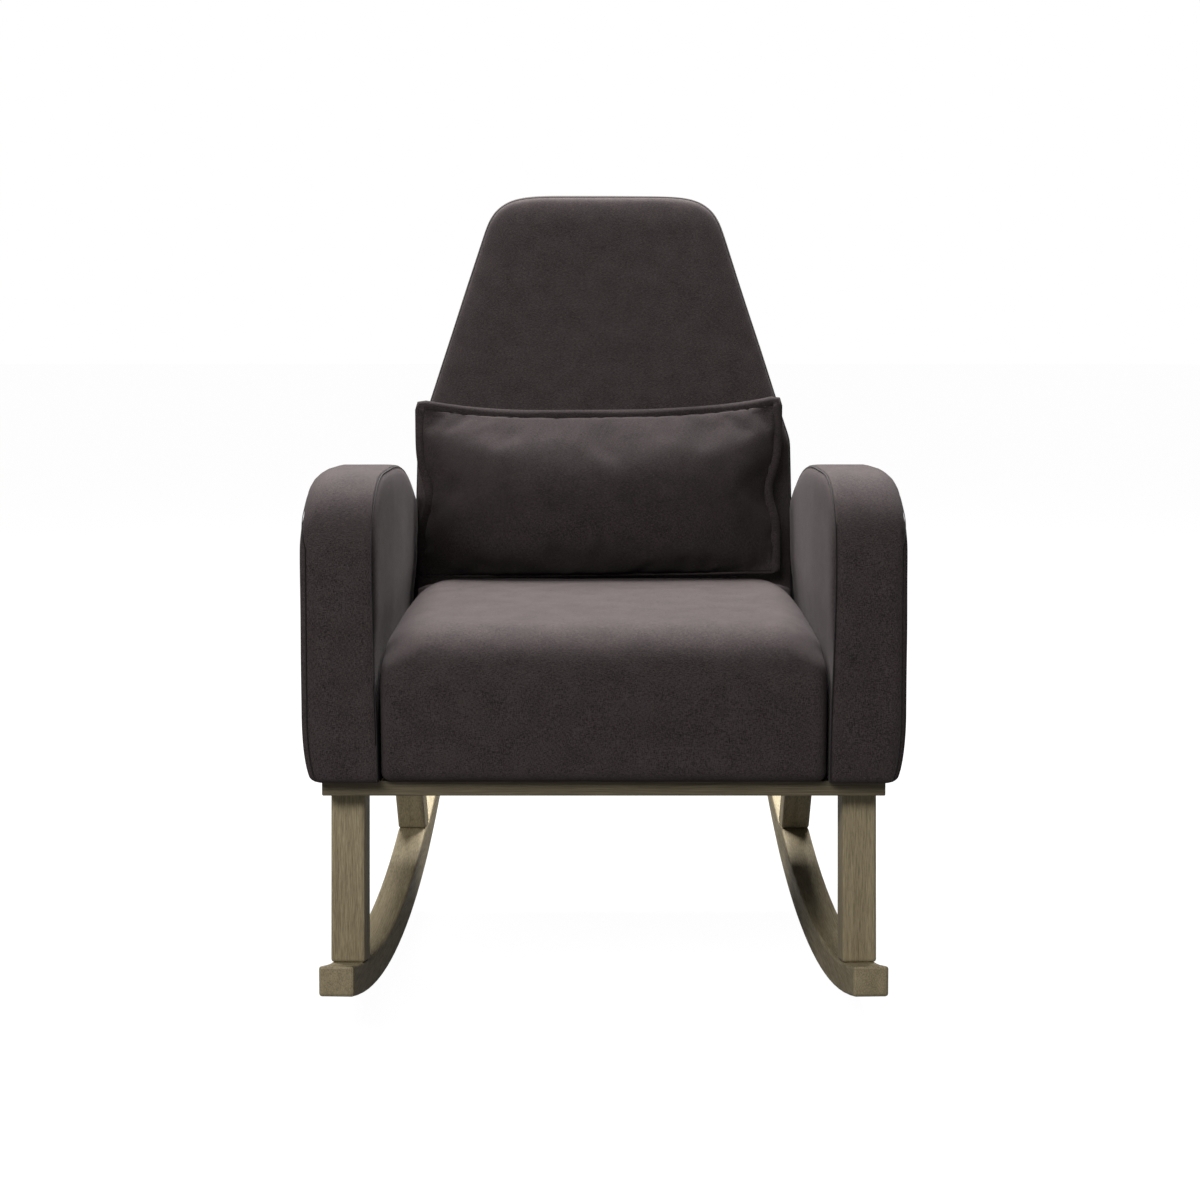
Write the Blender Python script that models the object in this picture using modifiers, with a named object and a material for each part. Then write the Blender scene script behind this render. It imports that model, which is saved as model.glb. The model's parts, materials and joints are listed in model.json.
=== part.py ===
"""An upholstered high-back rocking chair with a loose lumbar pillow.

Metres, +Z up. The chair faces -Y and its width runs along X. The floor under the rockers'
lowest points is Z = 0, and the origin is under the middle of the chair's bounding box.
Distances along the chair are given "behind the tips": from the front ends of the rockers
towards the back. Left and right are as seen from the front, so right is +X.
"""

import math

import bmesh
import bpy
from mathutils import Matrix, Vector

# Overall
DEPTH = 0.89
GAP = 0.0003
TINY = 1e-6
ROUND_SIDES = 12

# Rockers: the underside and the upper side lie on two circles, with flats where the legs stand
TOE_IN = math.atan(0.033)
ROCKER_THICKNESS = 0.040
ROCKER_MIDDLE_AT_TIP = 0.3030
ROCKER_RADIUS = 1.24
ROCKER_LOW = 0.390
UPPER_RADIUS = 1.146
UPPER_LOW = 0.355
UPPER_LOW_HEIGHT = 0.0416
TAIL_THICKNESS = 0.036
WOOD_ROUNDING = 0.003

# Legs: square posts, the rear pair raked and spread towards the top
LEG_WIDTH = 0.040
LEG_DEPTH = 0.041
FRONT_LEG = 0.080
FRONT_LEG_RAKE = 0.010
REAR_LEG = 0.652
REAR_LEG_RAKE = -0.053
REAR_LEG_SPREAD = 0.0085
FOOT_MARGIN = 0.004

# Plinth: the flat wooden frame that the body stands on
PLINTH_BOTTOM = 0.277
PLINTH_THICKNESS = 0.018
PLINTH_FRONT = 0.065
PLINTH_REAR = 0.661
PLINTH_HALF_WIDTH = 0.327
PLINTH_FRONT_BOARD = 0.080
PLINTH_REAR_BOARD = 0.110
PLINTH_SIDE_BOARD = 0.106
PLINTH_TOP = PLINTH_BOTTOM + PLINTH_THICKNESS
BODY_BOTTOM = PLINTH_TOP + GAP

# Seat frame
RAIL_THICKNESS = 0.022
RAIL_TOP = BODY_BOTTOM + 0.075
SEAT_FRAME_HALF_WIDTH = 0.243
SEAT_FRAME_FRONT = 0.086
SEAT_FRAME_REAR = 0.500
SIDE_RAIL_END = 0.600
CORNER_BLOCK = 0.062
CORNER_BLOCK_TOP = BODY_BOTTOM + 0.045

# Springs: flat zigzag wires from the front rail to the rear rail, held under two clip strips
SPRING_PLACES = (-0.150, -0.050, 0.050, 0.150)
SPRING_WIRE = 0.0019
SPRING_HALF_WIDTH = 0.020
SPRING_CORNER = 0.006
SPRING_BENDS = 12
SPRING_CROWN = 0.012
CLIP_HALF_LENGTH = 0.195
CLIP_WIDTH = 0.016
CLIP_HEIGHT = 0.008
NOTCH_HALF_WIDTH = 0.024
NOTCH_HEIGHT = 0.0045

# Seat pad
SEAT_FRONT = 0.048
SEAT_HALF_WIDTH = 0.2575
SEAT_NOSE = 0.062
SEAT_NOSE_TOP = 0.474
SEAT_CREST = 0.478
SEAT_CREST_AT = 0.340
SEAT_REAR_TOP = 0.468
SEAT_FOOT_ROUNDING = 0.012
SEAT_HOLLOW_TOP = 0.392
REAR_CLEARANCE = 0.002
HOLLOW_CLEARANCE = 0.0015

# Backrest: its front leans more than its rear, so it is thicker at the bottom
BACK_FRONT = 0.545
BACK_FRONT_HEIGHT = 0.500
BACK_LEAN = math.radians(15.5)
REAR_FOOT = 0.655
REAR_LEAN = math.radians(10.4)
BACK_TOP = 1.0106
BACK_HALF_WIDTH = 0.2672
BACK_SHOULDER = 0.655
BACK_SIDE_ANGLE = math.atan(0.309)
BACK_CORNER_DROP = 0.060
BACK_CORNER_PULL = 0.85
BACK_TOP_FLAT = 0.070
BACK_PAD_BOTTOM = 0.402
BACK_FOAM = 0.045
BACK_SIDE_FOAM = 0.024
BACK_TOP_FOAM = 0.030
BACK_PANEL_THICKNESS = 0.006
BACK_PANEL_INSET = 0.005

# Back frame, inside the backrest
POST_WIDTH = 0.025
POST_DEPTH = 0.040
POST_BEND = 0.420
POST_TOP = 0.955
POST_OUTER_FOOT = SEAT_FRAME_HALF_WIDTH - RAIL_THICKNESS - GAP
POST_OUTER_HEAD = 0.130
FRAME_BEHIND_FRONT = 0.050
BACK_RAIL_HEIGHT = 0.050
BACK_RAILS = {"back_lower_rail": 0.425, "back_lumbar_rail": 0.560, "back_top_rail": 0.905}
WEBBING_THICKNESS = 0.0018
WEBBING_HEIGHT = 0.050
WEBBING_BOTTOMS = (0.645, 0.740, 0.835)

# Arms: a plywood panel inside a boxed pad, whose inner face splays a little towards the back
ARM_FRONT = 0.045
ARM_OUTER = 0.3485
ARM_INNER_FRONT = 0.2605
ARM_INNER_REAR = 0.2705
ARM_NOSE = 0.095
ARM_FOOT_ROUNDING = 0.007
ARM_CREST = 0.650
ARM_CREST_AT = 0.190
ARM_TOP_RADIUS = 1.16
ARM_HEEL = 0.6775
ARM_HEEL_ROUNDING = 0.030
PAD_ROUNDING = 0.012
ARM_PANEL_MIDDLE = 0.305
ARM_PANEL_THICKNESS = 0.018
SLOT_CLEARANCE = 0.002

# Fasteners
SHANK = 0.004
SCREW_HEAD = 0.0075
SCREW_HEAD_HEIGHT = 0.0045
SCREW_SUNK = 0.002
LEG_SCREW_LENGTH = 0.066
ROCKER_SCREW_LENGTH = 0.068
BOLT_HEAD = 0.008
BOLT_HEAD_HEIGHT = 0.0055
BODY_BOLT_LENGTH = 0.056
BODY_BOLT_PLACES = {"front": (0.200, 0.126), "rear": (0.208, 0.568)}
ARM_BOLT_LENGTH = 0.092
ARM_BOLT_HEIGHT = 0.336
ARM_BOLT_PLACES = {"front": 0.200, "rear": 0.440}
HOLE_REACH = 0.010

# Dust cover under the seat
DUST_COVER_THICKNESS = 0.0015
DUST_COVER_LAP = 0.008

# Lumbar pillow: a puffed cushion with a flat flange all round, leaning on the backrest
PILLOW_HALF_WIDTH = 0.256
PILLOW_HEIGHT = 0.244
PILLOW_BOTTOM = 0.480
PILLOW_CLEARANCE = 0.003
PILLOW_FLANGE = 0.004
PILLOW_FRONT_PUFF = 0.062
PILLOW_REAR_PUFF = 0.030
PILLOW_CUTS = 9

# An outline is drawn flat and given a thickness; these turn it into the chair's axes
SIDE_VIEW = Matrix(((0, 0, 1, 0), (1, 0, 0, 0), (0, 1, 0, 0), (0, 0, 0, 1)))
FRONT_VIEW = Matrix(((1, 0, 0, 0), (0, 0, -1, 0), (0, 1, 0, 0), (0, 0, 0, 1)))
TOP_VIEW = Matrix.Identity(4)
SIDES = {"left": -1, "right": 1}


# The scene


def clear_scene():
    for obj in list(bpy.data.objects):
        bpy.data.objects.remove(obj, do_unlink=True)


def new_collection(name):
    collection = bpy.data.collections.new(name)
    bpy.context.scene.collection.children.link(collection)
    return collection


def new_material(name, colour, roughness, metallic=0.0):
    material = bpy.data.materials.new(name)
    material.use_nodes = True
    shader = material.node_tree.nodes["Principled BSDF"]
    shader.inputs["Base Color"].default_value = (*colour, 1.0)
    shader.inputs["Roughness"].default_value = roughness
    shader.inputs["Metallic"].default_value = metallic
    return material


clear_scene()
CHAIR = new_collection("rocking_chair")
CUTTERS = new_collection("cutters")
OAK = new_material("weathered_oak", (0.20, 0.165, 0.105), 0.55)
HARDWOOD = new_material("frame_hardwood", (0.52, 0.36, 0.20), 0.70)
FABRIC = new_material("mauve_grey_fabric", (0.060, 0.050, 0.052), 0.90)
BLACK_CLOTH = new_material("black_cloth", (0.012, 0.012, 0.013), 0.90)
WEBBING = new_material("elastic_webbing", (0.16, 0.13, 0.09), 0.90)
ZINC = new_material("zinc_plated_steel", (0.60, 0.60, 0.60), 0.35, 1.0)
SPRING_STEEL = new_material("spring_steel", (0.10, 0.10, 0.11), 0.40, 1.0)
CLIP_PLASTIC = new_material("clip_plastic", (0.75, 0.74, 0.70), 0.50)


def add(name, mesh, material, parent=None):
    """Puts a mesh in the chair as a node of its own."""
    obj = bpy.data.objects.new(name, mesh)
    mesh.name = name
    mesh.materials.clear()
    mesh.materials.append(material)
    CHAIR.objects.link(obj)
    obj.parent = parent
    return obj


def add_cutter(name, mesh, parent=None):
    obj = bpy.data.objects.new(name, mesh)
    CUTTERS.objects.link(obj)
    obj.hide_render = True
    obj.display_type = "WIRE"
    obj.parent = parent
    return obj


def cut(obj, cutter):
    modifier = obj.modifiers.new("cut_" + cutter.name, "BOOLEAN")
    modifier.operation = "DIFFERENCE"
    modifier.object = cutter


def round_edges(obj, width, segments=2):
    modifier = obj.modifiers.new("rounded_edges", "BEVEL")
    modifier.width = width
    modifier.segments = segments
    modifier.limit_method = "ANGLE"
    modifier.angle_limit = math.radians(35)
    obj.data.shade_smooth()
    obj.data.set_sharp_from_angle(angle=math.radians(35))


# Places and outlines


def at(behind_tips):
    """World Y of a place so far behind the rocker tips."""
    return behind_tips - DEPTH / 2


def front_of_back(z):
    """World Y of the backrest's front surface at this height."""
    return at(BACK_FRONT) + (z - BACK_FRONT_HEIGHT) * math.tan(BACK_LEAN)


def rear_of_back(z):
    """World Y of the chair's rear surface at this height."""
    return at(REAR_FOOT) + (z - BODY_BOTTOM) * math.tan(REAR_LEAN)


def spaced(start, end, steps):
    return [start + (end - start) * i / steps for i in range(steps + 1)]


def arc(centre, radius, start, end, steps):
    """Points on a circle, from one angle to another in degrees, both ends included."""
    angles = [math.radians(angle) for angle in spaced(start, end, steps)]
    return [(centre[0] + radius * math.cos(a), centre[1] + radius * math.sin(a)) for a in angles]


def both_halves(right_half):
    """A whole front-view outline from its right half, listed from the bottom up."""
    return right_half + [(-x, z) for x, z in reversed(right_half)]


# Meshes


def box_mesh(name, low, high):
    """A box between two corners."""
    low, high = Vector(low), Vector(high)
    mesh = bpy.data.meshes.new(name)
    shape = bmesh.new()
    bmesh.ops.create_cube(shape, size=1.0)
    bmesh.ops.scale(shape, vec=high - low, verts=shape.verts)
    bmesh.ops.translate(shape, vec=(low + high) / 2, verts=shape.verts)
    shape.to_mesh(mesh)
    shape.free()
    return mesh


def slab_mesh(name, outline, thickness, view, middle=0.0):
    """A closed outline given a thickness, about a plane so far from the chair's middle."""
    curve = bpy.data.curves.new(name, "CURVE")
    curve.dimensions = "2D"
    curve.fill_mode = "BOTH"
    curve.extrude = thickness / 2
    spline = curve.splines.new("POLY")
    spline.points.add(len(outline) - 1)
    for point, (x, y) in zip(spline.points, outline):
        point.co = (x, y, 0, 1)
    spline.use_cyclic_u = True
    drawn = bpy.data.objects.new(name, curve)
    bpy.context.scene.collection.objects.link(drawn)
    bpy.context.view_layer.update()
    graph = bpy.context.evaluated_depsgraph_get()
    mesh = bpy.data.meshes.new_from_object(drawn.evaluated_get(graph))
    bpy.data.objects.remove(drawn)
    mesh.transform(view @ Matrix.Translation((0, 0, middle)))
    shape = bmesh.new()
    shape.from_mesh(mesh)
    bmesh.ops.remove_doubles(shape, verts=shape.verts, dist=1e-5)
    bmesh.ops.dissolve_limit(shape, angle_limit=0.001, verts=shape.verts, edges=shape.edges)
    bmesh.ops.recalc_face_normals(shape, faces=shape.faces)
    shape.to_mesh(mesh)
    shape.free()
    return mesh


def leaning_mesh(name, outline, front, rear):
    """A front-view outline between two leaning surfaces, each a function from height to Y."""
    mesh = slab_mesh(name, outline, 1.0, FRONT_VIEW)
    for vertex in mesh.vertices:
        surface = front if vertex.co.y < 0 else rear
        vertex.co.y = surface(vertex.co.z)
    return mesh


def for_side(mesh, sign):
    """A mesh modelled for the right side, mirrored if it is for the left."""
    if sign < 0:
        mesh.transform(Matrix.Scale(-1, 4, (1, 0, 0)))
        mesh.flip_normals()
    return mesh


def turned(name, profile, material, place, rotation=(0, 0, 0), parent=None):
    """A node turned from a profile of (radius, height), which runs from its top down."""
    return turn(add(name, bpy.data.meshes.new(name), material, parent), profile, place, rotation)


def turned_cutter(name, profile, place, rotation=(0, 0, 0), parent=None):
    return turn(add_cutter(name, bpy.data.meshes.new(name), parent), profile, place, rotation)


def turn(obj, profile, place, rotation):
    points = [(radius, 0, z) for radius, z in profile]
    edges = [(i, i + 1) for i in range(len(points) - 1)]
    obj.data.from_pydata(points, edges, [])
    obj.location = place
    obj.rotation_euler = rotation
    modifier = obj.modifiers.new("turned", "SCREW")
    modifier.steps = ROUND_SIDES
    modifier.render_steps = ROUND_SIDES
    modifier.use_merge_vertices = True
    modifier.merge_threshold = 0.00001
    return obj


def screw_profile(length):
    """A countersunk screw, its flat head at zero and its point below."""
    return [
        (0, 0),
        (SCREW_HEAD, 0),
        (SHANK, -SCREW_HEAD_HEIGHT),
        (SHANK, -length + SHANK),
        (SHANK * 0.3, -length),
        (0, -length),
    ]


def screw_hole_profile(length):
    return [
        (0, HOLE_REACH),
        (SCREW_HEAD + GAP, HOLE_REACH),
        (SCREW_HEAD + GAP, -GAP),
        (SHANK + GAP, -SCREW_HEAD_HEIGHT - GAP),
        (SHANK + GAP, -length - GAP),
        (0, -length - GAP),
    ]


def bolt_profile(length):
    """A round-headed bolt, its head above zero and its shank below."""
    return [
        (0, BOLT_HEAD_HEIGHT),
        (BOLT_HEAD * 0.8, BOLT_HEAD_HEIGHT),
        (BOLT_HEAD, BOLT_HEAD_HEIGHT * 0.6),
        (BOLT_HEAD, GAP),
        (SHANK, GAP),
        (SHANK, -length),
        (0, -length),
    ]


def bolt_hole_profile(length):
    return [
        (0, HOLE_REACH),
        (SHANK + GAP, HOLE_REACH),
        (SHANK + GAP, -length - GAP),
        (0, -length - GAP),
    ]


# Rockers and legs


def rocker_underside(y):
    return ROCKER_RADIUS - math.sqrt(ROCKER_RADIUS**2 - (y - ROCKER_LOW) ** 2)


def rocker_upper_side(y):
    return UPPER_LOW_HEIGHT + UPPER_RADIUS - math.sqrt(UPPER_RADIUS**2 - (y - UPPER_LOW) ** 2)


ROCKER_LENGTH = DEPTH / math.cos(TOE_IN)
FRONT_FLAT = (FRONT_LEG - FOOT_MARGIN, FRONT_LEG + LEG_DEPTH + FOOT_MARGIN)
REAR_FLAT = (REAR_LEG, REAR_LEG + LEG_DEPTH + FOOT_MARGIN)
REAR_FLAT_HEIGHT = rocker_upper_side(REAR_LEG)


def rocker_outline():
    """Side view from the tip: along the underside to the tail, and back over the upper side."""
    under = [(y, rocker_underside(y)) for y in spaced(0, ROCKER_LENGTH, 24)]
    upper_places = [0, FRONT_LEG / 2, *FRONT_FLAT, *spaced(0.17, REAR_LEG, 11)]
    upper = [(y, rocker_upper_side(y)) for y in upper_places]
    upper.append((REAR_FLAT[1], REAR_FLAT_HEIGHT))
    thickness = REAR_FLAT_HEIGHT - rocker_underside(REAR_FLAT[1])
    for share in spaced(0.2, 1.0, 4):
        y = REAR_FLAT[1] + share * (ROCKER_LENGTH - REAR_FLAT[1])
        here = thickness + (TAIL_THICKNESS - thickness) * share
        upper.append((y, rocker_underside(y) + here))
    return under + upper[::-1]


def on_front_flat(y):
    """Height of the sloping flat under the front leg."""
    start, end = (rocker_upper_side(place) for place in FRONT_FLAT)
    return start + (end - start) * (y - FRONT_FLAT[0]) / (FRONT_FLAT[1] - FRONT_FLAT[0])


def leg_mesh(name, front, rake, spread, foot_height):
    """A square post from the rocker to the plinth. Its head is shifted by its rake and spread."""
    mesh = box_mesh(name, (-LEG_WIDTH / 2, front, 0), (LEG_WIDTH / 2, front + LEG_DEPTH, 1))
    for vertex in mesh.vertices:
        if vertex.co.z > 0.5:
            vertex.co += Vector((spread, rake, PLINTH_BOTTOM - GAP - 1))
        else:
            vertex.co.z = foot_height(vertex.co.y) + GAP
    return mesh


def make_base_side(side, sign, front_rail, rear_rail):
    """One rocker with its two legs and their screws, in a frame turned by the toe-in."""
    frame = bpy.data.objects.new("base_frame_" + side, None)
    CHAIR.objects.link(frame)
    frame.location = (sign * ROCKER_MIDDLE_AT_TIP, at(0), 0)
    frame.rotation_euler = (0, 0, sign * TOE_IN)

    rocker = slab_mesh("rocker", rocker_outline(), ROCKER_THICKNESS, SIDE_VIEW)
    rocker = add("rocker_" + side, rocker, OAK, frame)
    round_edges(rocker, WOOD_ROUNDING)
    legs = {
        "front": (FRONT_LEG, FRONT_LEG_RAKE, 0.0, on_front_flat, front_rail),
        "rear": (REAR_LEG, REAR_LEG_RAKE, REAR_LEG_SPREAD, lambda y: REAR_FLAT_HEIGHT, rear_rail),
    }
    for end, (front, rake, spread, foot_height, rail) in legs.items():
        mesh = for_side(leg_mesh(end, front, rake, spread, foot_height), sign)
        leg = add(f"{end}_leg_{side}", mesh, OAK, frame)
        round_edges(leg, WOOD_ROUNDING)
        middle = front + LEG_DEPTH / 2

        top = (sign * spread, middle + rake, PLINTH_TOP - TINY - SCREW_SUNK / 2)
        turned(f"leg_screw_{end}_{side}", screw_profile(LEG_SCREW_LENGTH), ZINC, top, parent=frame)
        hole = screw_hole_profile(LEG_SCREW_LENGTH)
        hole = turned_cutter(f"leg_hole_{end}_{side}", hole, top, parent=frame)
        cut(leg, hole)
        cut(rail, hole)

        foot = (0, middle, rocker_underside(middle) + 2 * SCREW_SUNK)
        head_down = (math.pi, 0, 0)
        shape = screw_profile(ROCKER_SCREW_LENGTH)
        turned(f"rocker_screw_{end}_{side}", shape, ZINC, foot, head_down, frame)
        hole = screw_hole_profile(ROCKER_SCREW_LENGTH)
        hole = turned_cutter(f"rocker_hole_{end}_{side}", hole, foot, head_down, frame)
        cut(leg, hole)
        cut(rocker, hole)


# Plinth


def board(name, low, high, material, rounding=0.0):
    obj = add(name, box_mesh(name, low, high), material)
    if rounding:
        round_edges(obj, rounding)
    return obj


def make_plinth():
    """Four flat boards. The front and rear ones run the full width, the side ones between them."""
    low, high = PLINTH_BOTTOM, PLINTH_TOP
    width = PLINTH_HALF_WIDTH
    front_end = at(PLINTH_FRONT + PLINTH_FRONT_BOARD)
    rear_start = at(PLINTH_REAR - PLINTH_REAR_BOARD)
    rounding = WOOD_ROUNDING / 2
    front = board(
        "plinth_front_rail", (-width, at(PLINTH_FRONT), low), (width, front_end, high), OAK, rounding
    )
    rear = board(
        "plinth_rear_rail", (-width, rear_start, low), (width, at(PLINTH_REAR), high), OAK, rounding
    )
    for side, sign in SIDES.items():
        inner = sign * (width - PLINTH_SIDE_BOARD)
        outer = sign * width
        board(
            "plinth_side_rail_" + side,
            (min(inner, outer), front_end + GAP, low),
            (max(inner, outer), rear_start - GAP, high),
            OAK,
            rounding,
        )
    return front, rear


def make_dust_cover():
    """Black cloth stapled under the plinth, over the opening between its boards."""
    half_width = PLINTH_HALF_WIDTH - PLINTH_SIDE_BOARD + DUST_COVER_LAP
    front = at(PLINTH_FRONT + PLINTH_FRONT_BOARD - DUST_COVER_LAP)
    rear = at(PLINTH_REAR - PLINTH_REAR_BOARD + DUST_COVER_LAP)
    top = PLINTH_BOTTOM - GAP
    low = (-half_width, front, top - DUST_COVER_THICKNESS)
    board("dust_cover", low, (half_width, rear, top), BLACK_CLOTH)


# Seat


def make_seat_frame():
    """Rails on edge on the plinth, and a glued block in each front corner. Returns what bolts hold."""
    width = SEAT_FRAME_HALF_WIDTH
    inner = width - RAIL_THICKNESS
    front = at(SEAT_FRAME_FRONT)
    behind_front = front + RAIL_THICKNESS
    rear = at(SEAT_FRAME_REAR)
    low, high = BODY_BOTTOM, RAIL_TOP
    board("seat_front_rail", (-width, front, low), (width, behind_front, high), HARDWOOD)
    rear_low = (-inner + GAP, rear - RAIL_THICKNESS, low)
    board("seat_spring_rail", rear_low, (inner - GAP, rear, high), HARDWOOD)
    held = {}
    for side, sign in SIDES.items():
        xs = sorted((sign * inner, sign * width))
        rail = board(
            "seat_side_rail_" + side,
            (xs[0], behind_front + GAP, low),
            (xs[1], at(SIDE_RAIL_END), high),
            HARDWOOD,
        )
        corner = (sign * (inner - GAP), behind_front + GAP)
        triangle = [
            corner,
            (corner[0] - sign * CORNER_BLOCK, corner[1]),
            (corner[0], corner[1] + CORNER_BLOCK),
        ]
        height = CORNER_BLOCK_TOP - BODY_BOTTOM
        middle = (CORNER_BLOCK_TOP + BODY_BOTTOM) / 2
        mesh = slab_mesh("block", triangle, height, TOP_VIEW, middle)
        block = add("corner_block_" + side, mesh, HARDWOOD)
        held[side] = (rail, block)
    return held


def spring_path():
    """Points of one spring from front to rear: a flat zigzag with cut corners, crowned upwards."""
    start = at(SEAT_FRAME_FRONT + RAIL_THICKNESS / 2)
    end = at(SEAT_FRAME_REAR - RAIL_THICKNESS / 2)
    pitch = (end - start) / SPRING_BENDS
    wide, narrow = SPRING_HALF_WIDTH, SPRING_HALF_WIDTH - SPRING_CORNER
    points = [(-wide, start)]
    for bend in range(SPRING_BENDS):
        hand = 1 if bend % 2 == 0 else -1
        y = start + bend * pitch
        points.append((hand * narrow, y))
        points.append((hand * wide, y + pitch * 0.3))
        points.append((hand * wide, y + pitch * 0.7))
        points.append((hand * narrow, y + pitch))
    points.append((-wide if SPRING_BENDS % 2 == 0 else wide, end))
    base = RAIL_TOP + GAP + SPRING_WIRE
    crowned = []
    for x, y in points:
        share = max(0.0, (y - start - pitch) / (end - start - 2 * pitch))
        crowned.append((x, y, base + SPRING_CROWN * math.sin(math.pi * min(1.0, share))))
    return crowned


def make_spring(name, x):
    curve = bpy.data.curves.new(name, "CURVE")
    curve.dimensions = "3D"
    curve.bevel_depth = SPRING_WIRE
    curve.bevel_resolution = 2
    curve.use_fill_caps = True
    curve.materials.append(SPRING_STEEL)
    path = spring_path()
    spline = curve.splines.new("POLY")
    spline.points.add(len(path) - 1)
    for point, place in zip(spline.points, path):
        point.co = (*place, 1)
    obj = bpy.data.objects.new(name, curve)
    CHAIR.objects.link(obj)
    obj.location.x = x


def make_springs():
    """The seat springs, and the two strips whose notches hold their end bars on the rails."""
    for number, x in enumerate(SPRING_PLACES, start=1):
        make_spring(f"seat_spring_{number}", x)
    ends = {"front": (SEAT_FRAME_FRONT, 1), "rear": (SEAT_FRAME_REAR, -1)}
    for end, (edge, inward) in ends.items():
        middle = at(edge + inward * RAIL_THICKNESS / 2)
        low = (-CLIP_HALF_LENGTH, middle - CLIP_WIDTH / 2, RAIL_TOP + GAP)
        high = (CLIP_HALF_LENGTH, middle + CLIP_WIDTH / 2, RAIL_TOP + GAP + CLIP_HEIGHT)
        strip = board("spring_clip_strip_" + end, low, high, CLIP_PLASTIC)
        for number, x in enumerate(SPRING_PLACES, start=1):
            ys = sorted((middle - inward * CLIP_WIDTH / 4, middle + inward * CLIP_WIDTH))
            notch_low = (x - NOTCH_HALF_WIDTH, ys[0], RAIL_TOP - GAP)
            notch_high = (x + NOTCH_HALF_WIDTH, ys[1], RAIL_TOP + NOTCH_HEIGHT)
            name = f"notch_{end}_{number}"
            cut(strip, add_cutter(name, box_mesh(name, notch_low, notch_high)))


def seat_pad_outline():
    """Side view: upright front, rounded nose, a top crowned in the middle, and a leaning rear."""
    front, low = at(SEAT_FRONT), BODY_BOTTOM
    foot = SEAT_FOOT_ROUNDING
    nose = SEAT_NOSE_TOP - SEAT_NOSE
    rear_low = front_of_back(low) - REAR_CLEARANCE
    rear_high = front_of_back(SEAT_REAR_TOP) - REAR_CLEARANCE
    outline = [(rear_low, low)]
    outline += arc((front + foot, low + foot), foot, 270, 180, 3)
    outline += arc((front + SEAT_NOSE, nose), SEAT_NOSE, 180, 94, 7)
    outline += [(at(0.20), (SEAT_NOSE_TOP + 2 * SEAT_CREST) / 3), (at(SEAT_CREST_AT), SEAT_CREST)]
    outline += [(at(0.45), (SEAT_REAR_TOP + 2 * SEAT_CREST) / 3), (rear_high, SEAT_REAR_TOP)]
    return outline


def make_seat_pad():
    """The seat's foam and cover as one solid, hollow below for the frame and the springs."""
    mesh = slab_mesh("seat_pad", seat_pad_outline(), 2 * SEAT_HALF_WIDTH, SIDE_VIEW)
    pad = add("seat_pad", mesh, FABRIC)
    round_edges(pad, PAD_ROUNDING, 3)
    half_width = SEAT_FRAME_HALF_WIDTH + HOLLOW_CLEARANCE
    low = (-half_width, at(SEAT_FRAME_FRONT) - HOLLOW_CLEARANCE, BODY_BOTTOM - HOLE_REACH)
    high = (half_width, at(SIDE_RAIL_END), SEAT_HOLLOW_TOP)
    cut(pad, add_cutter("seat_hollow", box_mesh("seat_hollow", low, high)))
    return pad


# Backrest


def post_outer(z):
    """Half-width over the two back posts at this height."""
    share = max(0.0, (z - POST_BEND) / (POST_TOP - POST_BEND))
    return POST_OUTER_FOOT + (POST_OUTER_HEAD - POST_OUTER_FOOT) * share


def frame_front(z):
    return front_of_back(z) + FRAME_BEHIND_FRONT


def make_back_frame():
    """Two bent posts, three rails between them and three bands of webbing across their fronts."""
    posts = {}
    for side, sign in SIDES.items():
        outer = [(post_outer(z), z) for z in (BODY_BOTTOM, POST_BEND, POST_TOP)]
        outline = outer + [(x - POST_WIDTH, z) for x, z in reversed(outer)]
        mesh = leaning_mesh("post", outline, frame_front, lambda z: frame_front(z) + POST_DEPTH)
        posts[side] = add("back_post_" + side, for_side(mesh, sign), HARDWOOD)
    for name, low in BACK_RAILS.items():
        right = [(post_outer(z) - POST_WIDTH - GAP, z) for z in (low, low + BACK_RAIL_HEIGHT)]
        mesh = leaning_mesh(
            name, both_halves(right), frame_front, lambda z: frame_front(z) + RAIL_THICKNESS
        )
        add(name, mesh, HARDWOOD)
    for number, low in enumerate(WEBBING_BOTTOMS, start=1):
        right = [(post_outer(z) - GAP, z) for z in (low, low + WEBBING_HEIGHT)]
        mesh = leaning_mesh(
            "webbing",
            both_halves(right),
            lambda z: frame_front(z) - GAP - WEBBING_THICKNESS,
            lambda z: frame_front(z) - GAP,
        )
        add(f"back_webbing_{number}", mesh, WEBBING)
    return posts


def eased_corner(start, corner, end, steps):
    """Points of a curve from start to end that is drawn most of the way into a corner."""
    pull = BACK_CORNER_PULL
    first = Vector(start).lerp(Vector(corner), pull)
    second = Vector(end).lerp(Vector(corner), pull)
    knots = (Vector(start), first, second, Vector(end))
    points = []
    for step in range(steps + 1):
        t = step / steps
        shares = ((1 - t) ** 3, 3 * t * (1 - t) ** 2, 3 * t * t * (1 - t), t**3)
        point = sum((share * knot for share, knot in zip(shares, knots)), Vector((0, 0)))
        points.append(tuple(point))
    return points


def back_outline(bottom, inset=0.0, top_inset=None, steps=12):
    """Front view of the backrest: upright sides, then slanted ones to a rounded top corner."""
    top = BACK_TOP - (inset if top_inset is None else top_inset)
    half_width = BACK_HALF_WIDTH - inset
    slope = math.tan(BACK_SIDE_ANGLE)
    shoulder = BACK_SHOULDER - inset * math.tan(BACK_SIDE_ANGLE / 2)

    def side_at(z):
        return (half_width - (z - shoulder) * slope, z)

    corner = eased_corner(side_at(top - BACK_CORNER_DROP), side_at(top), (BACK_TOP_FLAT, top), steps)
    return both_halves([(half_width, bottom), (half_width, shoulder), *corner])


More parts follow.
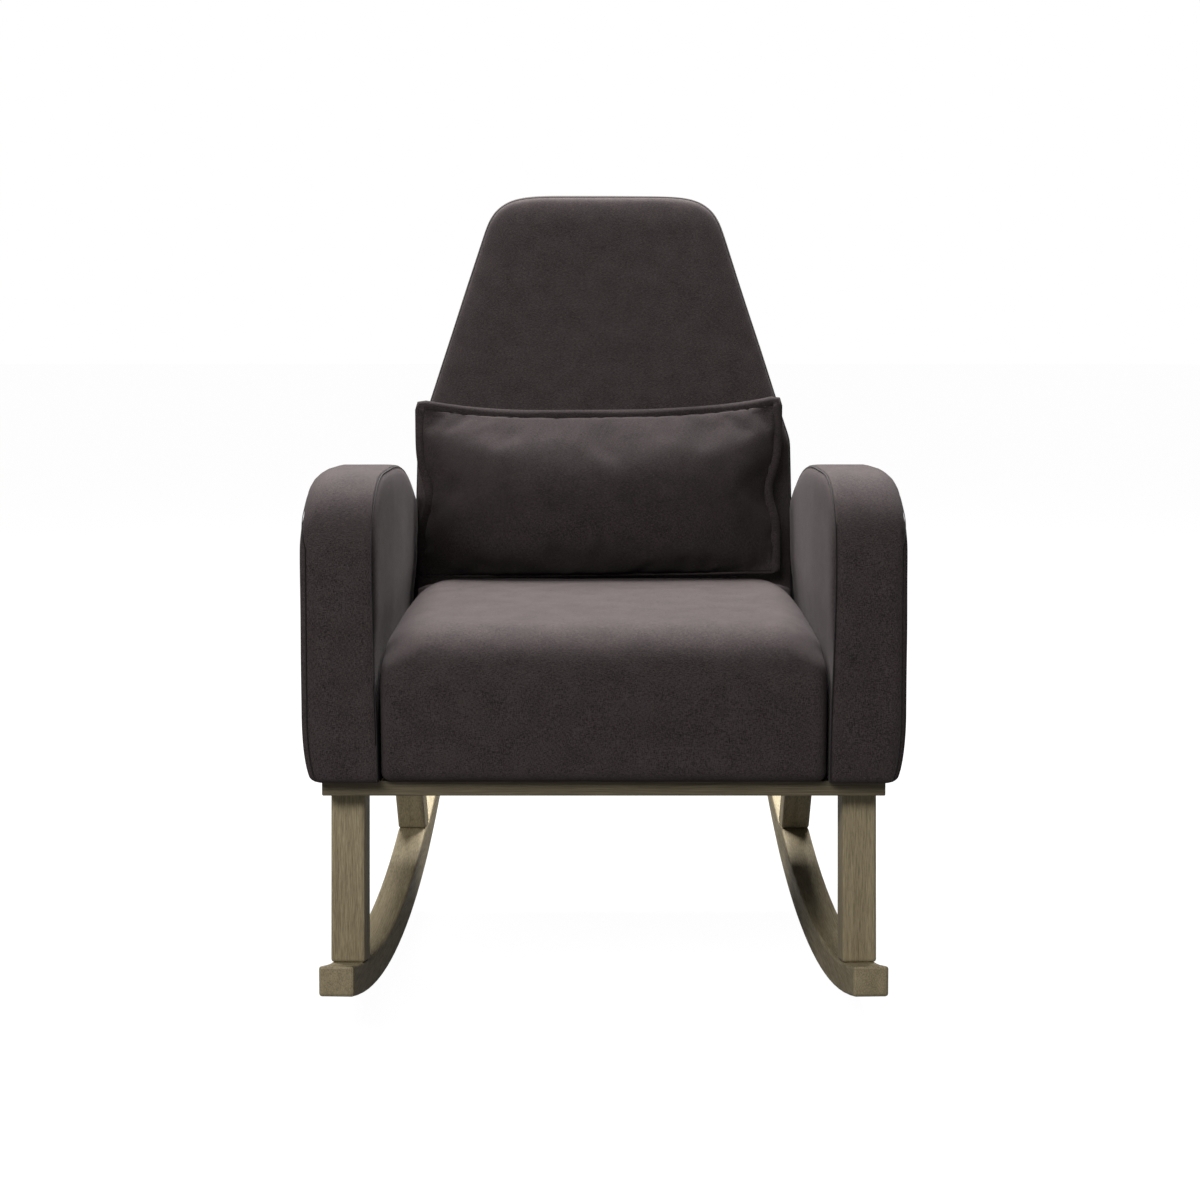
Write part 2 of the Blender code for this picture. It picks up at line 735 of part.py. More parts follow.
def make_back_pad():
    """The backrest's foam and cover as one solid, open behind and below for the back frame."""

    def rear_of_pad(z):
        return rear_of_back(z) - BACK_PANEL_THICKNESS - GAP

    outline = back_outline(BACK_PAD_BOTTOM)
    pad = add("back_pad", leaning_mesh("back_pad", outline, front_of_back, rear_of_pad), FABRIC)
    round_edges(pad, PAD_ROUNDING, 3)
    hollow = leaning_mesh(
        "back_hollow",
        back_outline(BACK_PAD_BOTTOM - HOLE_REACH, BACK_SIDE_FOAM, BACK_TOP_FOAM, 4),
        lambda z: front_of_back(z) + BACK_FOAM,
        lambda z: rear_of_back(z) + HOLE_REACH,
    )
    cut(pad, add_cutter("back_hollow", hollow))

    panel = leaning_mesh(
        "outside_back_panel",
        back_outline(BODY_BOTTOM, BACK_PANEL_INSET),
        lambda z: rear_of_back(z) - BACK_PANEL_THICKNESS,
        rear_of_back,
    )
    panel = add("outside_back_panel", panel, FABRIC)
    round_edges(panel, BACK_PANEL_THICKNESS / 4)


# Arms


def arm_top(y):
    """Height of the arm's top line so far behind the tips."""
    return ARM_CREST - ARM_TOP_RADIUS + math.sqrt(ARM_TOP_RADIUS**2 - (y - ARM_CREST_AT) ** 2)


def arm_outline():
    """Side view of an arm: upright front, a large round nose, a falling top and a leaning heel."""
    low = BODY_BOTTOM
    foot = ARM_FOOT_ROUNDING
    nose_place = ARM_FRONT + ARM_NOSE
    rise = math.degrees(math.asin((ARM_CREST_AT - nose_place) / ARM_TOP_RADIUS))
    fall = math.degrees(math.asin((ARM_HEEL - ARM_CREST_AT) / ARM_TOP_RADIUS))
    nose_centre = (at(nose_place), arm_top(nose_place) - ARM_NOSE)
    top_centre = (at(ARM_CREST_AT), ARM_CREST - ARM_TOP_RADIUS)
    heel_reach = ARM_TOP_RADIUS - ARM_HEEL_ROUNDING
    heel_angle = math.radians(90 - fall)
    heel_centre = (
        top_centre[0] + heel_reach * math.cos(heel_angle),
        top_centre[1] + heel_reach * math.sin(heel_angle),
    )
    outline = [(rear_of_back(low), low)]
    outline += arc((at(ARM_FRONT) + foot, low + foot), foot, 270, 180, 4)
    outline += arc(nose_centre, ARM_NOSE, 180, 90 + rise, 8)
    outline += arc(top_centre, ARM_TOP_RADIUS, 90 + rise * 0.6, 90 - fall, 9)
    outline += arc(heel_centre, ARM_HEEL_ROUNDING, 90 - fall - 15, -math.degrees(REAR_LEAN), 4)
    return outline


def arm_panel_outline(margin=0.0):
    """Side view of the plywood inside an arm, or of the slot that it stands in."""
    low = BODY_BOTTOM - (HOLE_REACH if margin else 0)
    front, rear = at(0.075) - margin, at(0.620) + margin
    return [
        (rear, low),
        (front, low),
        (front, 0.560 + margin),
        (at(0.115), 0.600 + margin),
        (at(0.350), 0.592 + margin),
        (rear, 0.520 + margin),
    ]


def make_arm(side, sign):
    thickness = ARM_OUTER - ARM_INNER_FRONT
    mesh = slab_mesh("arm_pad", arm_outline(), thickness, SIDE_VIEW)
    for vertex in mesh.vertices:
        share = (vertex.co.y - at(ARM_FRONT)) / (at(REAR_FOOT) - at(ARM_FRONT))
        inner = ARM_INNER_FRONT + (ARM_INNER_REAR - ARM_INNER_FRONT) * share
        vertex.co.x = ARM_OUTER if vertex.co.x > 0 else inner
    pad = add("arm_pad_" + side, for_side(mesh, sign), FABRIC)
    round_edges(pad, PAD_ROUNDING, 3)
    slot = slab_mesh(
        "slot",
        arm_panel_outline(SLOT_CLEARANCE),
        ARM_PANEL_THICKNESS + 2 * SLOT_CLEARANCE,
        SIDE_VIEW,
        sign * ARM_PANEL_MIDDLE,
    )
    cut(pad, add_cutter("arm_slot_" + side, slot))
    panel = slab_mesh(
        "panel", arm_panel_outline(), ARM_PANEL_THICKNESS, SIDE_VIEW, sign * ARM_PANEL_MIDDLE
    )
    return pad, add("arm_panel_" + side, panel, HARDWOOD)


# Body fasteners


def make_body_bolts(rails, seat_frame, posts):
    """Bolts up through the plinth: in front into the corner blocks, behind into the posts."""
    for end, (x, y) in BODY_BOLT_PLACES.items():
        for side, sign in SIDES.items():
            place = (sign * x, at(y), PLINTH_BOTTOM)
            head_down = (math.pi, 0, 0)
            name = f"body_bolt_{end}_{side}"
            turned(name, bolt_profile(BODY_BOLT_LENGTH), ZINC, place, head_down)
            hole = bolt_hole_profile(BODY_BOLT_LENGTH)
            hole = turned_cutter(f"body_hole_{end}_{side}", hole, place, head_down)
            cut(rails[end], hole)
            cut(seat_frame[side][1] if end == "front" else posts[side], hole)


def make_arm_bolts(side, sign, seat_rail, seat_pad, arm_pad, arm_panel):
    """Bolts from inside the seat's side rail, through both pads, into the arm's plywood."""
    for end, y in ARM_BOLT_PLACES.items():
        place = (sign * (SEAT_FRAME_HALF_WIDTH - RAIL_THICKNESS), at(y), ARM_BOLT_HEIGHT)
        outward = (0, -sign * math.pi / 2, 0)
        shape = bolt_profile(ARM_BOLT_LENGTH)
        turned(f"arm_bolt_{end}_{side}", shape, ZINC, place, outward)
        hole = bolt_hole_profile(ARM_BOLT_LENGTH)
        hole = turned_cutter(f"arm_hole_{end}_{side}", hole, place, outward)
        for piece in (seat_rail, seat_pad, arm_pad, arm_panel):
            cut(piece, hole)


# Lumbar pillow


def puff(u, v):
    """How far the pillow is filled at a place from -1 to 1 across and up: 1 in the middle."""
    return max(0.0, (1 - u**6) * (1 - v**4)) ** 0.55


def make_pillow():
    """A box cut into squares, swollen between its edges, and leant on the backrest."""
    mesh = box_mesh("lumbar_pillow", (-1, -1, -1), (1, 1, 1))
    shape = bmesh.new()
    shape.from_mesh(mesh)
    in_faces = [e for e in shape.edges if abs(e.verts[0].co.y - e.verts[1].co.y) < TINY]
    bmesh.ops.subdivide_edges(shape, edges=in_faces, cuts=PILLOW_CUTS, use_grid_fill=True)
    for vertex in shape.verts:
        u, side, v = vertex.co
        swell = PILLOW_FRONT_PUFF if side < 0 else PILLOW_REAR_PUFF
        vertex.co.x = u * PILLOW_HALF_WIDTH
        vertex.co.y = side * (PILLOW_FLANGE + swell * puff(u, v))
        vertex.co.z = (v + 1) / 2 * PILLOW_HEIGHT
    shape.to_mesh(mesh)
    shape.free()
    mesh.shade_smooth()
    pillow = add("lumbar_pillow", mesh, FABRIC)
    rear_reach = (PILLOW_FLANGE + PILLOW_REAR_PUFF) / math.cos(BACK_LEAN)
    middle = front_of_back(PILLOW_BOTTOM) - rear_reach - PILLOW_CLEARANCE
    pillow.location = (0, middle, PILLOW_BOTTOM)
    pillow.rotation_euler = (-BACK_LEAN, 0, 0)


def make_chair():
    plinth_front, plinth_rear = make_plinth()
    make_dust_cover()
    seat_frame = make_seat_frame()
    make_springs()
    seat_pad = make_seat_pad()
    posts = make_back_frame()
    make_back_pad()
    make_body_bolts({"front": plinth_front, "rear": plinth_rear}, seat_frame, posts)
    for side, sign in SIDES.items():
        make_base_side(side, sign, plinth_front, plinth_rear)
        arm_pad, arm_panel = make_arm(side, sign)
        make_arm_bolts(side, sign, seat_frame[side][0], seat_pad, arm_pad, arm_panel)
    make_pillow()


make_chair()
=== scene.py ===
"""Looks of an upholstered rocking chair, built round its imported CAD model.

Metres, +Z up, and the chair faces -Y. The wooden pieces keep their CAD solids and get grain.
The upholstery is built here. Each padded body is a shell: two side panels whose edges roll over
into a band that runs round the body's outline, creased along the seams.
"""

import json
import math

import bmesh
import bpy
import numpy as np
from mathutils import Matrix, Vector, kdtree, noise
from mathutils.geometry import convex_hull_2d, delaunay_2d_cdt


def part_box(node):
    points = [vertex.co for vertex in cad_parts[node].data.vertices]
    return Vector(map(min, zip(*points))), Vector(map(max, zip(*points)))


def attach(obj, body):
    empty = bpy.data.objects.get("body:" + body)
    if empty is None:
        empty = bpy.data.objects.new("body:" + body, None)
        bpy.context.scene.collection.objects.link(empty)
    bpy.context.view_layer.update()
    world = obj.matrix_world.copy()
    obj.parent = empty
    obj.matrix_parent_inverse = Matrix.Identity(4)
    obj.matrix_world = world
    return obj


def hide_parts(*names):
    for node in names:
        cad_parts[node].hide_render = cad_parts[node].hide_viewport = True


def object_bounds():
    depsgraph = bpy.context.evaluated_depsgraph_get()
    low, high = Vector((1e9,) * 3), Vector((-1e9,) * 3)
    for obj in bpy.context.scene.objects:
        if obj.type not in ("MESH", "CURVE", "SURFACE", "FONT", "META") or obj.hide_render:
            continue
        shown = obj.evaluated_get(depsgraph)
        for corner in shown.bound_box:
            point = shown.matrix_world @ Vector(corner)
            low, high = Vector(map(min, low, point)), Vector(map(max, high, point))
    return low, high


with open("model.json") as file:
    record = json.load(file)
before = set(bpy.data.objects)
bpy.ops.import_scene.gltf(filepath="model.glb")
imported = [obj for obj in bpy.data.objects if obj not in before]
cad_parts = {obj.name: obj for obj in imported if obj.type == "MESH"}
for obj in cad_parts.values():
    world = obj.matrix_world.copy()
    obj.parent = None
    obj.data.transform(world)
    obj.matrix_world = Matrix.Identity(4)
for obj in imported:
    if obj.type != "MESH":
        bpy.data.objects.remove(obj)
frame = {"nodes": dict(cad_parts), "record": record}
CAD_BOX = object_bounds()
NODES = frame["nodes"]
SIDES = {"left": -1, "right": 1}

# Bodies of the imported model
CHAIR = "chair"
PILLOW = "lumbar_pillow"

# Shells: point spacings, the foot that stays crisp, and how a seam pulls the cover in
OUTLINE_STEP = 0.005
OUTLINE_CRISP = 0.03
OUTLINE_SOFTENING = 0.02
PANEL_STEP = 0.009
BAND_ROWS = 18
SEAM_DEPTH = 0.0016
SEAM_REACH = 0.0035
SEAM_CORD = 0.0006

# Rings of points in a side panel: shares of the way to its seam, then distances past it
RING_SHARES = (0.15, 0.35, 0.6, 0.8, 0.92, 1.0)
RING_STEPS = (0.0012, 0.003, 0.006, 0.010, 0.016, 0.023)
RING_GAP = 0.0008

# A roll is how an edge turns over: how far across the body, and how far in from the rim. A top roll
# comes on top of it where the edge faces up, between two heights of its normal.

# Arms
ARM_UPWARD = (0.15, 0.9)
ARM_INNER_FOOT = 0.2600
ARM_INNER_REAR = 0.2705
ARM_FRONT_FLARE = 0.0053
ARM_FLARE_HEIGHT = 0.25
ARM_OUTER_ROLL = (0.0075, 0.011)
ARM_OUTER_TOP_ROLL = (0.0155, 0.015)
ARM_FOOT_TUCK = (0.014, 0.080)
ARM_OUTER_SEAM = 0.024
ARM_INNER_SEAM = 0.003
ARM_INNER_LIP = (0.002, 0.003)
ARM_SWELL = 0.0055
ARM_SWELL_EDGE = 0.030
ARM_SWELL_FROM, ARM_SWELL_TO = -0.055, 0.030
ARM_SEAM_START = 0.004

# Seat
SEAT_UPWARD = (0.05, 0.85)
SEAT_ROLL = (0.012, 0.012)
SEAT_TOP_ROLL = (0.040, 0.026)

# Backrest: its leans are those of the CAD model, and its filling draws its outline in
BACK_LEAN = math.radians(15.5)
REAR_LEAN = math.radians(10.4)
BACK_UPWARD = (0.3, 0.9)
BACK_SEAM_START = 0.010
BACK_SOFTENING = 0.006
BACK_DRAWN_IN = 0.0026
BACK_CROWN = 0.0035
BACK_CROWN_DRAWN_IN = 0.6 * BACK_CROWN
BACK_FRONT_ROLL = (0.010, 0.045)
BACK_REAR_ROLL = (0.003, 0.006)
OUTSIDE_BACK_DEPTH = 0.006
OUTSIDE_BACK_ROLL = (0.003, 0.012)

# Lumbar pillow: its flat size and stance, then how its seam and its filling curve
PILLOW_FLANGE = 0.010
PILLOW_SPREAD = 0.002
PILLOW_HEIGHT = 0.238
PILLOW_SUNK = 0.003
PILLOW_OFF_CENTRE = -0.007
PILLOW_TILT = 0.012
PILLOW_LEAN = BACK_LEAN - math.radians(2.5)
PILLOW_FRONT_FILL = 0.047
PILLOW_REAR_FILL = 0.020
PILLOW_COLUMNS, PILLOW_ROWS = 72, 34
RIM_SAG = 0.017
RIM_PINCH = 0.012
RIM_PINCH_HEIGHT, RIM_PINCH_REACH = 0.48, 0.15
RIM_FOOT_TAPER = 0.007
FILL_SAG = 0.040
FLANGE_CRUSHED = 0.25
# The flange's section: how far out from the seam, and how far forward
FLANGE_SECTION = (
    (-0.003, 0.0018),
    (PILLOW_FLANGE * 0.5, 0.0016),
    (PILLOW_FLANGE, 0.0010),
    (PILLOW_FLANGE, -0.0010),
    (PILLOW_FLANGE * 0.5, -0.0016),
    (-0.003, -0.0018),
)

# Cloth simulation of the pillow
CLOTH_FRAMES = 20
CLOTH_PRESSURE = 1.5
CLOTH_LIMIT = 0.006
CLOTH_GROWTH = 0.012
CLOTH_STIFFNESS = 15
CLOTH_BENDING = 1.5

# Colours
OAK_DARK = (0.195, 0.156, 0.090)
OAK_LIGHT = (0.375, 0.310, 0.190)
# Darkening of the plinth rails' oak: mostly painted shade for the shadow under the body's overhang,
# partly the rails' own darker tone
OAK_PAINTED_SHADE = 0.46
FRAME_DARK, FRAME_LIGHT = (0.36, 0.24, 0.12), (0.56, 0.41, 0.24)
COVER_DARK, COVER_LIGHT = (0.009, 0.0069, 0.0069), (0.074, 0.0573, 0.0568)
COVER_SHEEN = (0.95, 0.87, 0.87, 1)
# Seam cords: the seam's thread, much darker than the cover as painted shade for the shadowed crease
SEAM_SHADE_DARK, SEAM_SHADE_LIGHT = (0.008, 0.007, 0.007), (0.014, 0.012, 0.012)
WEBBING_DARK, WEBBING_LIGHT = (0.10, 0.08, 0.05), (0.20, 0.16, 0.11)
CLIP_DARK, CLIP_LIGHT = (0.62, 0.61, 0.57), (0.70, 0.69, 0.65)
# The lumbar pillow's velvet is the cover's own, darkened by this factor: painted shade for the
# shade the pillow sits in
PILLOW_PAINTED_SHADE = 0.78

# Texture scales, per metre
CLOUDS = (7, 7, 7)
SPECKS = (620, 620, 620)
THREADS_ACROSS = (60, 720, 720)
THREADS_UPRIGHT = (720, 720, 60)
OAK_WIDE, OAK_STREAKS, OAK_PORES = 22, 190, 520

# Camera
LENS = 57.99
CAMERA_HEIGHT = 0.8348
CAMERA_DISTANCE = 2.1469
CAMERA_PITCH = math.atan(0.0609)
SHIFT_X = -0.0031
SHIFT_Y = -0.14


# Small helpers


def smooth_step(low, high, value):
    share = np.clip((value - low) / (high - low), 0, 1)
    return share * share * (3 - 2 * share)


def rounded(depth, across, inset):
    """How far an edge rolled over an ellipse lies inside its side face, so far in from the rim."""
    share = np.clip(1 - depth / inset, 0, 1)
    return across * (1 - np.sqrt(1 - share * share))


def link(name, data):
    obj = bpy.data.objects.new(name, data)
    bpy.context.scene.collection.objects.link(obj)
    return obj


def link_shape(name, shape, mesh):
    """Turns a bmesh's faces outward and makes an object of it, on the given mesh."""
    bmesh.ops.recalc_face_normals(shape, faces=shape.faces)
    shape.to_mesh(mesh)
    shape.free()
    mesh.shade_smooth()
    return link(name, mesh)


def coordinates(mesh):
    flat = np.empty(len(mesh.vertices) * 3)
    mesh.vertices.foreach_get("co", flat)
    return flat.reshape(-1, 3)


def set_coordinates(mesh, points):
    mesh.vertices.foreach_set("co", np.asarray(points, np.float32).ravel())
    mesh.update()


def vertex_normals(mesh):
    flat = np.empty(len(mesh.vertices) * 3)
    mesh.vertex_normals.foreach_get("vector", flat)
    return flat.reshape(-1, 3)


# Shells


def outline_of(node, across, softening=OUTLINE_SOFTENING):
    """A CAD node's convex outline seen along one axis, as even points with softened corners.

    The lowest part keeps its corners.
    """
    first, second = (axis for axis in range(3) if axis != across)
    flat = [(v.co[first], v.co[second]) for v in NODES[node].data.vertices]
    hull = np.array([flat[i] for i in convex_hull_2d(flat)])
    closed = np.vstack([hull, hull[:1]])
    steps = np.linalg.norm(np.diff(closed, axis=0), axis=1)
    lengths = np.concatenate([[0], np.cumsum(steps)])
    count = round(lengths[-1] / OUTLINE_STEP)
    places = np.arange(count) * lengths[-1] / count
    points = np.column_stack([np.interp(places, lengths, closed[:, i]) for i in (0, 1)])
    reach = max(1, round(softening / OUTLINE_STEP / 2))
    soft = points
    for _ in range(2):
        rolled = [np.roll(soft, k, axis=0) for k in range(-reach, reach + 1)]
        soft = sum(rolled) / len(rolled)
    foot = points[:, 1].min()
    share = smooth_step(foot + OUTLINE_CRISP, foot + 2 * OUTLINE_CRISP, points[:, 1])[:, None]
    return points * (1 - share) + soft * share


def outward(outline):
    along = np.roll(outline, -1, axis=0) - np.roll(outline, 1, axis=0)
    along /= np.linalg.norm(along, axis=1)[:, None]
    return np.column_stack([along[:, 1], -along[:, 0]])


def facing_up(normals, low, high):
    """0 where an outline faces sideways or down, 1 where it faces up."""
    return smooth_step(low, high, normals[:, 1])


def panel_points(outline, seam_inset):
    """Points of one side panel: rings that follow its rim and its seam, then an even filling.

    Returns the flat points, how far in each lies, and the rim point nearest to it.
    """
    normals = outward(outline)
    count = len(outline)
    points, depths, nearest = [outline], [np.zeros(count)], [np.arange(count)]
    rings = [seam_inset * share for share in RING_SHARES]
    rings += [seam_inset + step for step in RING_STEPS]
    kept = np.zeros(count)
    for inset in rings:
        ring = outline - normals * inset[:, None]
        away = np.linalg.norm(ring[:, None] - outline[None], axis=2).min(axis=1)
        good = (inset - kept > RING_GAP) & (away > inset * 0.97)
        kept = np.where(good, inset, kept)
        points.append(ring[good])
        depths.append(inset[good])
        nearest.append(np.nonzero(good)[0])
    low, high = outline.min(axis=0), outline.max(axis=0)
    # Rows of equilateral triangles
    rows = np.arange(low[1], high[1], PANEL_STEP * 0.866)
    lattice = []
    for number, q in enumerate(rows):
        start = low[0] + (number % 2) * PANEL_STEP / 2
        lattice += [(p, q) for p in np.arange(start, high[0], PANEL_STEP)]
    lattice = np.array(lattice)
    reach = np.linalg.norm(lattice[:, None] - outline[None], axis=2)
    closest = reach.argmin(axis=1)
    away = reach.min(axis=1)
    inside = ((outline[closest] - lattice) * normals[closest]).sum(axis=1) > 0
    good = inside & (away > seam_inset[closest] + RING_STEPS[-1] + PANEL_STEP * 0.6)
    points.append(lattice[good])
    depths.append(away[good])
    nearest.append(closest[good])
    return np.vstack(points), np.concatenate(depths), np.concatenate(nearest)


def triangulated(points, rim_count):
    edges = [(i, (i + 1) % rim_count) for i in range(rim_count)]
    flat = [Vector(point) for point in points]
    made = delaunay_2d_cdt(flat, edges, [], 1, 1e-6)
    source = [origin[0] for origin in made[3]]
    return [[source[i] for i in face] for face in made[2]]


def in_space(across, flat, depth):
    """3-D points from flat outline points and their places along the body's across axis."""
    points = np.empty((len(flat), 3))
    points[:, [axis for axis in range(3) if axis != across]] = flat
    points[:, across] = depth
    return points


class Shell:
    """A padded body between two side surfaces, with its seams.

    A side surface is a function of (flat points, depth in from the rim, rim normals) that gives
    the place along the across axis. A seam inset says how far in from the rim its seam runs.
    """

    def __init__(self, across, outline, low_side, high_side, low_inset=None, high_inset=None):
        self.across = across
        self.outline = outline
        self.normals = outward(outline)
        self.sides = (low_side, high_side)
        none = np.zeros(len(outline))
        self.insets = (
            none if low_inset is None else low_inset,
            none if high_inset is None else high_inset,
        )

    def seam(self, side, keep=None):
        """The 3-D path of one side's seam, or of the stretch of it where keep is true."""
        inset = self.insets[side]
        flat = self.outline - self.normals * inset[:, None]
        path = in_space(self.across, flat, self.sides[side](flat, inset, self.normals))
        if keep is None:
            return path
        chosen = np.nonzero(keep)[0]
        start = chosen[np.nonzero(np.diff(chosen) > 1)[0] + 1]
        if len(start) and keep[0] and keep[-1]:
            chosen = np.roll(chosen, -np.nonzero(chosen == start[0])[0][0])
        return path[chosen]

    def build(self, name):
        """The closed cover: both side panels and the band of rows between their rims."""
        count = len(self.outline)
        parts, faces, rims = [], [], []
        total = 0
        for side in (0, 1):
            flat, depth, nearest = panel_points(self.outline, self.insets[side])
            place = self.sides[side](flat, depth, self.normals[nearest])
            parts.append(in_space(self.across, flat, place))
            faces += [[i + total for i in face] for face in triangulated(flat, count)]
            rims.append((total, place[:count]))
            total += len(flat)
        shares = [(1 - math.cos(math.pi * k / BAND_ROWS)) / 2 for k in range(1, BAND_ROWS)]
        rows = [rims[0][0]]
        for share in shares:
            place = rims[0][1] * (1 - share) + rims[1][1] * share
            parts.append(in_space(self.across, self.outline, place))
            rows.append(total)
            total += count
        rows.append(rims[1][0])
        for low, high in zip(rows, rows[1:]):
            for i in range(count):
                j = (i + 1) % count
                faces.append([low + i, low + j, high + j, high + i])
        mesh = bpy.data.meshes.new(name)
        mesh.from_pydata(np.vstack(parts).tolist(), [], faces)
        shape = bmesh.new()
        shape.from_mesh(mesh)
        return link_shape(name, shape, mesh)


def crease(obj, paths):
    """Pulls the cover in along its seams."""
    points = np.vstack(paths)
    tree = kdtree.KDTree(len(points))
    for i, point in enumerate(points):
        tree.insert(point, i)
    tree.balance()
    cover = coordinates(obj.data)
    away = np.array([tree.find(point)[2] for point in cover])
    away = np.maximum(away - OUTLINE_STEP / 4, 0)
    cover -= vertex_normals(obj.data) * (SEAM_DEPTH * np.exp(-away / SEAM_REACH))[:, None]
    set_coordinates(obj.data, cover)


def soften(obj, height=0.0007, size=0.09, seed=0.0):
    """Slow, slight waves, as no padded cover is quite even."""
    cover = coordinates(obj.data)
    waves = [noise.noise(Vector(point) / size + Vector((seed, 0, 0))) for point in cover]
    cover += vertex_normals(obj.data) * (height * np.array(waves))[:, None]
    set_coordinates(obj.data, cover)


def cord(name, path, closed):
    """The thread line of a seam: a thin round cord along its path, darker than the cover as painted
    shade for the seam's crease.
    """
    curve = bpy.data.curves.new(name, "CURVE")
    curve.dimensions = "3D"
    curve.bevel_depth = SEAM_CORD
    curve.bevel_resolution = 1
    curve.use_fill_caps = True
    spline = curve.splines.new("POLY")
    spline.points.add(len(path) - 1)
    for point, place in zip(spline.points, path):
        point.co = (*place, 1)
    spline.use_cyclic_u = closed
    return link(name, curve)


def inflate(obj, held):
    """Swells a cover by cloth simulation. Held points stay, and no other moves past the limit."""
    scene = bpy.context.scene
    rest = coordinates(obj.data)
    group = obj.vertex_groups.new(name="held")
    group.add([int(i) for i in held], 1.0, "REPLACE")
    cloth = obj.modifiers.new("cloth", "CLOTH")
    settings = cloth.settings
    settings.quality = 6
    settings.mass = 0.3
    settings.tension_stiffness = CLOTH_STIFFNESS
    settings.compression_stiffness = CLOTH_STIFFNESS
    settings.shear_stiffness = CLOTH_STIFFNESS / 2
    settings.bending_stiffness = CLOTH_BENDING
    settings.shrink_min = -CLOTH_GROWTH
    settings.use_pressure = True
    settings.uniform_pressure_force = CLOTH_PRESSURE
    settings.effector_weights.gravity = 0
    settings.vertex_group_mass = "held"
    cloth.point_cache.frame_start = 1
    cloth.point_cache.frame_end = CLOTH_FRAMES
    for number in range(1, CLOTH_FRAMES + 1):
        scene.frame_set(number)
    evaluated = obj.evaluated_get(bpy.context.evaluated_depsgraph_get())
    move = coordinates(evaluated.data) - rest
    obj.modifiers.remove(cloth)
    obj.vertex_groups.clear()
    scene.frame_set(1)
    length = np.linalg.norm(move, axis=1)
    share = CLOTH_LIMIT * np.tanh(length / CLOTH_LIMIT) / np.maximum(length, 1e-9)
    set_coordinates(obj.data, rest + move * share[:, None])


# Materials


def toned(tone, values):
    return tuple(tone * value for value in values)


def new_material(name):
    material = bpy.data.materials.new(name)
    material.use_nodes = True
    tree = material.node_tree
    return material, tree, tree.nodes["Principled BSDF"]


def speckle(tree, scale, detail, roughness, offset=(0, 0, 0), distortion=0.0):
    """Noise on coordinates stretched by a scale along each axis, as a socket."""
    place = tree.nodes.new("ShaderNodeTexCoord")
    mapping = tree.nodes.new("ShaderNodeMapping")
    mapping.inputs["Scale"].default_value = scale
    mapping.inputs["Location"].default_value = offset
    node = tree.nodes.new("ShaderNodeTexNoise")
    node.inputs["Detail"].default_value = detail
    node.inputs["Roughness"].default_value = roughness
    node.inputs["Distortion"].default_value = distortion
    tree.links.new(place.outputs["Object"], mapping.inputs["Vector"])
    tree.links.new(mapping.outputs["Vector"], node.inputs["Vector"])
    return node.outputs["Fac"]


def ramp(tree, source, stops):
    """A colour ramp through stops of (position, colour or grey)."""
    node = tree.nodes.new("ShaderNodeValToRGB")
    elements = node.color_ramp.elements
    while len(elements) < len(stops):
        elements.new(0.5)
    for element, (position, colour) in zip(elements, stops):
        element.position = position
        element.color = (*colour, 1) if hasattr(colour, "__len__") else (colour,) * 3 + (1,)
    tree.links.new(source, node.inputs["Fac"])
    return node.outputs["Color"]


def mix(tree, how, share, first, second):
    """Mixes two colour sockets."""
    node = tree.nodes.new("ShaderNodeMix")
    node.data_type = "RGBA"
    node.blend_type = how
    node.inputs["Factor"].default_value = share
    for name, source in (("A", first), ("B", second)):
        socket = next(s for s in node.inputs if s.name == name and s.type == "RGBA")
        tree.links.new(source, socket)
    return next(s for s in node.outputs if s.type == "RGBA")


def bump(tree, shader, heights):
    """Adds bumps from (socket, strength, height in metres), each on top of the last."""
    before = None
    for socket, strength, distance in heights:
        node = tree.nodes.new("ShaderNodeBump")
        node.inputs["Strength"].default_value = strength
        node.inputs["Distance"].default_value = distance
        tree.links.new(socket, node.inputs["Height"])
        if before is not None:
            tree.links.new(before, node.inputs["Normal"])
        before = node.outputs["Normal"]
    tree.links.new(before, shader.inputs["Normal"])


def fabric(name, tone=1.0):
    """A dense velvety weave: fine threads both ways, a soft nap and cloudy changes of shade."""
    material, tree, shader = new_material(name)
    dark, light = toned(tone, COVER_DARK), toned(tone, COVER_LIGHT)
    clouds = speckle(tree, CLOUDS, 1.0, 0.4)
    specks = speckle(tree, SPECKS, 1.0, 0.5)
    across = speckle(tree, THREADS_ACROSS, 1.0, 0.5)
    upright = speckle(tree, THREADS_UPRIGHT, 1.0, 0.5)
    threads = mix(tree, "MIX", 0.5, across, upright)
    shade = mix(tree, "MIX", 0.30, threads, specks)
    shade = mix(tree, "MIX", 0.06, shade, clouds)
    colour = ramp(tree, shade, [(0.41, dark), (0.59, light)])
    tree.links.new(colour, shader.inputs["Base Color"])
    rough = ramp(tree, specks, [(0.3, 0.80), (0.7, 0.95)])
    tree.links.new(rough, shader.inputs["Roughness"])
    shader.inputs["Specular IOR Level"].default_value = 0.12
    shader.inputs["Sheen Weight"].default_value = 0.04
    shader.inputs["Sheen Roughness"].default_value = 0.5
    shader.inputs["Sheen Tint"].default_value = COVER_SHEEN
    bump(tree, shader, [(threads, 0.30, 0.0005), (specks, 0.2, 0.0003)])
    return material


